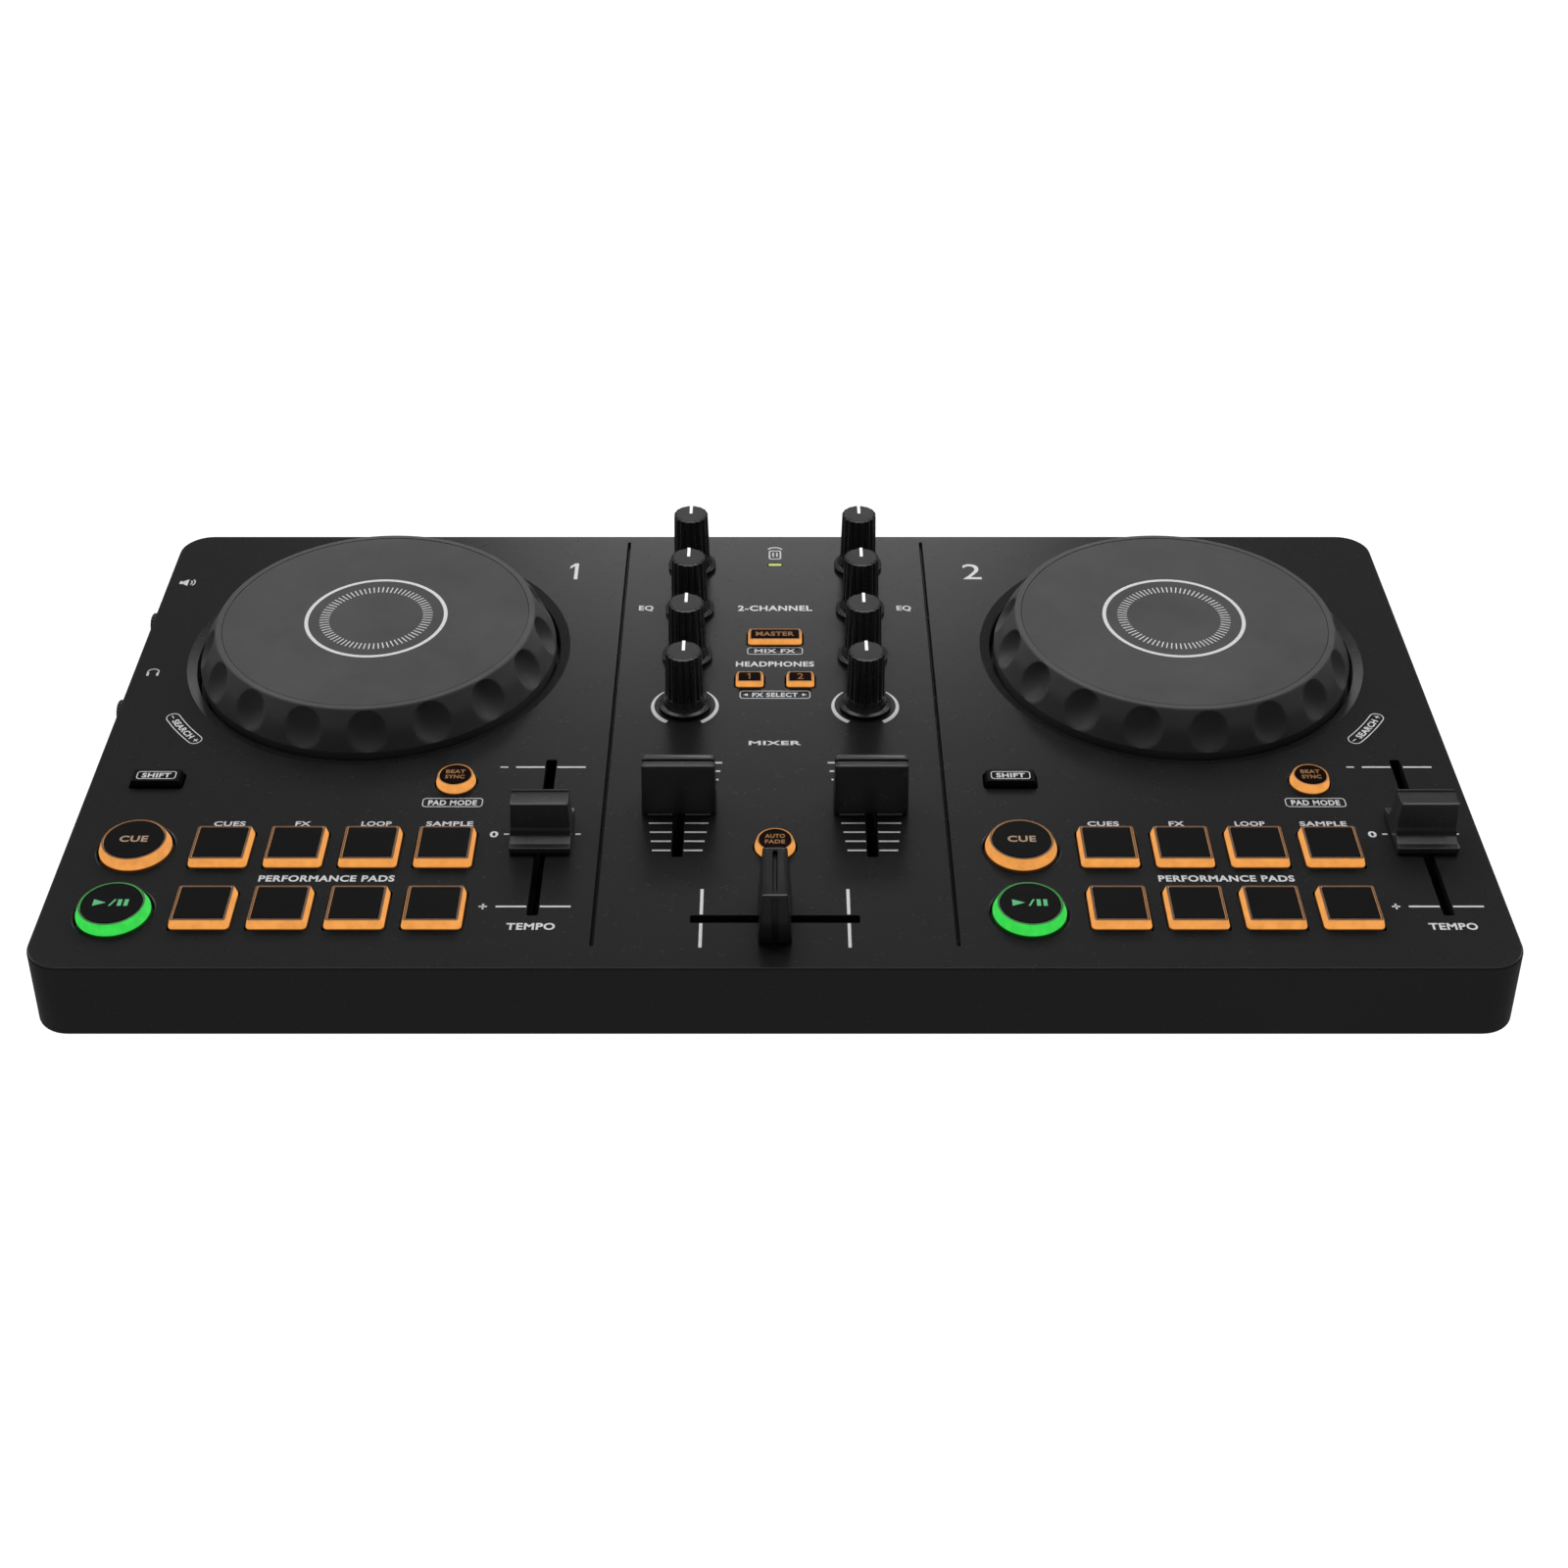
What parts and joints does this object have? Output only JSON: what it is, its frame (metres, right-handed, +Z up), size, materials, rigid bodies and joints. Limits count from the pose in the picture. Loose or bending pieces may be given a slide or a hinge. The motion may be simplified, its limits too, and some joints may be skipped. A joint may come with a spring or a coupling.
{
  "type": "dj controller",
  "caption": "Flat two-deck controller with jog wheels, lit pads and keys, sliding faders and rotary knobs on a black case.",
  "frame": {"origin": "on the table, under the centre of the bounding box", "axes": "+X to the player's right along the case, +Y from the player to the rear, +Z up"},
  "size_m": [0.387, 0.2104, 0.047],
  "materials": {
    "case_plastic": "fine matte texture",
    "pan_plastic": "matte texture",
    "jog_plastic": "satin",
    "jog_plate_plastic": "matte, printed rings",
    "knob_plastic": "semi gloss",
    "fader_plastic": "satin",
    "key_plastic": "satin",
    "amber_lens": "translucent, lit",
    "green_lens": "translucent, lit",
    "indicator_lens": "translucent, lit",
    "foot_rubber": "matte",
    "socket_plastic": "satin",
    "plated_steel": "plated",
    "board_laminate": "solder mask"
  },
  "bodies": {
    "housing": {"top_case": "case_plastic", "bottom_case": "pan_plastic", "main_board": "board_laminate", "foot_front_left": "foot_rubber", "foot_front_right": "foot_rubber", "foot_rear_left": "foot_rubber", "foot_rear_right": "foot_rubber", "master_jack": "socket_plastic", "headphone_jack": "socket_plastic", "usb_port": "plated_steel", "indicator_lens": "indicator_lens", "jog_hub_1": "plated_steel", "jog_hub_2": "plated_steel"},
    "jog_wheel_1": {"jog_ring_1": "jog_plastic", "jog_plate_1": "jog_plate_plastic"},
    "jog_wheel_2": {"jog_ring_2": "jog_plastic", "jog_plate_2": "jog_plate_plastic"},
    "tempo_fader_1": {"tempo_fader_1": "fader_plastic"},
    "tempo_fader_2": {"tempo_fader_2": "fader_plastic"},
    "channel_fader_1": {"channel_fader_1": "fader_plastic"},
    "channel_fader_2": {"channel_fader_2": "fader_plastic"},
    "crossfader": {"crossfader": "fader_plastic"},
    "filter_knob_1": {"filter_knob_1": "knob_plastic"},
    "filter_knob_2": {"filter_knob_2": "knob_plastic"},
    "bass_knob_1": {"bass_knob_1": "knob_plastic"},
    "bass_knob_2": {"bass_knob_2": "knob_plastic"},
    "treble_knob_1": {"treble_knob_1": "knob_plastic"},
    "treble_knob_2": {"treble_knob_2": "knob_plastic"},
    "gain_knob_1": {"gain_knob_1": "knob_plastic"},
    "gain_knob_2": {"gain_knob_2": "knob_plastic"},
    "master_level_dial": {"master_level_dial": "knob_plastic"},
    "headphone_level_dial": {"headphone_level_dial": "knob_plastic"},
    "cue_key_1": {"cue_key_1": "amber_lens"},
    "play_key_1": {"play_key_1": "green_lens"},
    "shift_key_1": {"shift_key_1": "key_plastic"},
    "sync_key_1": {"sync_key_1": "amber_lens"},
    "cue_key_2": {"cue_key_2": "amber_lens"},
    "play_key_2": {"play_key_2": "green_lens"},
    "shift_key_2": {"shift_key_2": "key_plastic"},
    "sync_key_2": {"sync_key_2": "amber_lens"},
    "blend_key": {"blend_key": "amber_lens"},
    "master_key": {"master_key": "amber_lens"},
    "headphone_key_1": {"headphone_key_1": "amber_lens"},
    "headphone_key_2": {"headphone_key_2": "amber_lens"},
    "pad_1_1": {"pad_1_1": "amber_lens"},
    "pad_1_2": {"pad_1_2": "amber_lens"},
    "pad_1_3": {"pad_1_3": "amber_lens"},
    "pad_1_4": {"pad_1_4": "amber_lens"},
    "pad_1_5": {"pad_1_5": "amber_lens"},
    "pad_1_6": {"pad_1_6": "amber_lens"},
    "pad_1_7": {"pad_1_7": "amber_lens"},
    "pad_1_8": {"pad_1_8": "amber_lens"},
    "pad_2_1": {"pad_2_1": "amber_lens"},
    "pad_2_2": {"pad_2_2": "amber_lens"},
    "pad_2_3": {"pad_2_3": "amber_lens"},
    "pad_2_4": {"pad_2_4": "amber_lens"},
    "pad_2_5": {"pad_2_5": "amber_lens"},
    "pad_2_6": {"pad_2_6": "amber_lens"},
    "pad_2_7": {"pad_2_7": "amber_lens"},
    "pad_2_8": {"pad_2_8": "amber_lens"}
  },
  "joints": [
    {"name": "jog_spin_1", "type": "hinge", "parent": "housing", "child": "jog_wheel_1", "pos_m": [-0.1175, 0.0388, 0.0275], "axis": [0, 0, 1], "continuous": true},
    {"name": "jog_spin_2", "type": "hinge", "parent": "housing", "child": "jog_wheel_2", "pos_m": [0.1207, 0.0388, 0.0275], "axis": [0, 0, 1], "continuous": true},
    {"name": "tempo_slide_1", "type": "slide", "parent": "housing", "child": "tempo_fader_1", "axis": [0, 1, 0], "range_m": [-0.03, 0.03]},
    {"name": "tempo_slide_2", "type": "slide", "parent": "housing", "child": "tempo_fader_2", "axis": [0, 1, 0], "range_m": [-0.03, 0.03]},
    {"name": "channel_slide_1", "type": "slide", "parent": "housing", "child": "channel_fader_1", "axis": [0, 1, 0], "range_m": [-0.0196, 0.0196]},
    {"name": "channel_slide_2", "type": "slide", "parent": "housing", "child": "channel_fader_2", "axis": [0, 1, 0], "range_m": [-0.0196, 0.0196]},
    {"name": "crossfader_slide", "type": "slide", "parent": "housing", "child": "crossfader", "axis": [1, 0, 0], "range_m": [-0.0192, 0.0192]},
    {"name": "filter_turn_1", "type": "hinge", "parent": "housing", "child": "filter_knob_1", "pos_m": [-0.0247, 0.0101, 0.0275], "axis": [0, 0, -1], "range_deg": [-150, 150]},
    {"name": "filter_turn_2", "type": "hinge", "parent": "housing", "child": "filter_knob_2", "pos_m": [0.0279, 0.0101, 0.0275], "axis": [0, 0, -1], "range_deg": [-150, 150]},
    {"name": "bass_turn_1", "type": "hinge", "parent": "housing", "child": "bass_knob_1", "pos_m": [-0.0247, 0.0356, 0.0275], "axis": [0, 0, -1], "range_deg": [-150, 150]},
    {"name": "bass_turn_2", "type": "hinge", "parent": "housing", "child": "bass_knob_2", "pos_m": [0.0279, 0.0356, 0.0275], "axis": [0, 0, -1], "range_deg": [-150, 150]},
    {"name": "treble_turn_1", "type": "hinge", "parent": "housing", "child": "treble_knob_1", "pos_m": [-0.0247, 0.0611, 0.0275], "axis": [0, 0, -1], "range_deg": [-150, 150]},
    {"name": "treble_turn_2", "type": "hinge", "parent": "housing", "child": "treble_knob_2", "pos_m": [0.0279, 0.0611, 0.0275], "axis": [0, 0, -1], "range_deg": [-150, 150]},
    {"name": "gain_turn_1", "type": "hinge", "parent": "housing", "child": "gain_knob_1", "pos_m": [-0.0247, 0.0866, 0.0275], "axis": [0, 0, -1], "range_deg": [-150, 150]},
    {"name": "gain_turn_2", "type": "hinge", "parent": "housing", "child": "gain_knob_2", "pos_m": [0.0279, 0.0866, 0.0275], "axis": [0, 0, -1], "range_deg": [-150, 150]},
    {"name": "master_level_turn", "type": "hinge", "parent": "housing", "child": "master_level_dial", "pos_m": [-0.1889, 0.0665, 0.018], "axis": [-1, 0, 0], "range_deg": [-150, 150]},
    {"name": "headphone_level_turn", "type": "hinge", "parent": "housing", "child": "headphone_level_dial", "pos_m": [-0.1889, 0.0195, 0.018], "axis": [-1, 0, 0], "range_deg": [-150, 150]},
    {"name": "cue_press_1", "type": "slide", "parent": "housing", "child": "cue_key_1", "axis": [0, 0, 1], "range_m": [-0.0008, 0], "stiffness_N_per_m": 400},
    {"name": "play_press_1", "type": "slide", "parent": "housing", "child": "play_key_1", "axis": [0, 0, 1], "range_m": [-0.0008, 0], "stiffness_N_per_m": 400},
    {"name": "shift_press_1", "type": "slide", "parent": "housing", "child": "shift_key_1", "axis": [0, 0, 1], "range_m": [-0.0006, 0], "stiffness_N_per_m": 400},
    {"name": "sync_press_1", "type": "slide", "parent": "housing", "child": "sync_key_1", "axis": [0, 0, 1], "range_m": [-0.0006, 0], "stiffness_N_per_m": 400},
    {"name": "cue_press_2", "type": "slide", "parent": "housing", "child": "cue_key_2", "axis": [0, 0, 1], "range_m": [-0.0008, 0], "stiffness_N_per_m": 400},
    {"name": "play_press_2", "type": "slide", "parent": "housing", "child": "play_key_2", "axis": [0, 0, 1], "range_m": [-0.0008, 0], "stiffness_N_per_m": 400},
    {"name": "shift_press_2", "type": "slide", "parent": "housing", "child": "shift_key_2", "axis": [0, 0, 1], "range_m": [-0.0006, 0], "stiffness_N_per_m": 400},
    {"name": "sync_press_2", "type": "slide", "parent": "housing", "child": "sync_key_2", "axis": [0, 0, 1], "range_m": [-0.0006, 0], "stiffness_N_per_m": 400},
    {"name": "blend_press", "type": "slide", "parent": "housing", "child": "blend_key", "axis": [0, 0, 1], "range_m": [-0.0006, 0], "stiffness_N_per_m": 400},
    {"name": "master_press", "type": "slide", "parent": "housing", "child": "master_key", "axis": [0, 0, 1], "range_m": [-0.0006, 0], "stiffness_N_per_m": 400},
    {"name": "headphone_press_1", "type": "slide", "parent": "housing", "child": "headphone_key_1", "axis": [0, 0, 1], "range_m": [-0.0006, 0], "stiffness_N_per_m": 400},
    {"name": "headphone_press_2", "type": "slide", "parent": "housing", "child": "headphone_key_2", "axis": [0, 0, 1], "range_m": [-0.0006, 0], "stiffness_N_per_m": 400},
    {"name": "pad_1_1_press", "type": "slide", "parent": "housing", "child": "pad_1_1", "axis": [0, 0, 1], "range_m": [-0.0008, 0], "stiffness_N_per_m": 400},
    {"name": "pad_1_2_press", "type": "slide", "parent": "housing", "child": "pad_1_2", "axis": [0, 0, 1], "range_m": [-0.0008, 0], "stiffness_N_per_m": 400},
    {"name": "pad_1_3_press", "type": "slide", "parent": "housing", "child": "pad_1_3", "axis": [0, 0, 1], "range_m": [-0.0008, 0], "stiffness_N_per_m": 400},
    {"name": "pad_1_4_press", "type": "slide", "parent": "housing", "child": "pad_1_4", "axis": [0, 0, 1], "range_m": [-0.0008, 0], "stiffness_N_per_m": 400},
    {"name": "pad_1_5_press", "type": "slide", "parent": "housing", "child": "pad_1_5", "axis": [0, 0, 1], "range_m": [-0.0008, 0], "stiffness_N_per_m": 400},
    {"name": "pad_1_6_press", "type": "slide", "parent": "housing", "child": "pad_1_6", "axis": [0, 0, 1], "range_m": [-0.0008, 0], "stiffness_N_per_m": 400},
    {"name": "pad_1_7_press", "type": "slide", "parent": "housing", "child": "pad_1_7", "axis": [0, 0, 1], "range_m": [-0.0008, 0], "stiffness_N_per_m": 400},
    {"name": "pad_1_8_press", "type": "slide", "parent": "housing", "child": "pad_1_8", "axis": [0, 0, 1], "range_m": [-0.0008, 0], "stiffness_N_per_m": 400},
    {"name": "pad_2_1_press", "type": "slide", "parent": "housing", "child": "pad_2_1", "axis": [0, 0, 1], "range_m": [-0.0008, 0], "stiffness_N_per_m": 400},
    {"name": "pad_2_2_press", "type": "slide", "parent": "housing", "child": "pad_2_2", "axis": [0, 0, 1], "range_m": [-0.0008, 0], "stiffness_N_per_m": 400},
    {"name": "pad_2_3_press", "type": "slide", "parent": "housing", "child": "pad_2_3", "axis": [0, 0, 1], "range_m": [-0.0008, 0], "stiffness_N_per_m": 400},
    {"name": "pad_2_4_press", "type": "slide", "parent": "housing", "child": "pad_2_4", "axis": [0, 0, 1], "range_m": [-0.0008, 0], "stiffness_N_per_m": 400},
    {"name": "pad_2_5_press", "type": "slide", "parent": "housing", "child": "pad_2_5", "axis": [0, 0, 1], "range_m": [-0.0008, 0], "stiffness_N_per_m": 400},
    {"name": "pad_2_6_press", "type": "slide", "parent": "housing", "child": "pad_2_6", "axis": [0, 0, 1], "range_m": [-0.0008, 0], "stiffness_N_per_m": 400},
    {"name": "pad_2_7_press", "type": "slide", "parent": "housing", "child": "pad_2_7", "axis": [0, 0, 1], "range_m": [-0.0008, 0], "stiffness_N_per_m": 400},
    {"name": "pad_2_8_press", "type": "slide", "parent": "housing", "child": "pad_2_8", "axis": [0, 0, 1], "range_m": [-0.0008, 0], "stiffness_N_per_m": 400}
  ]
}
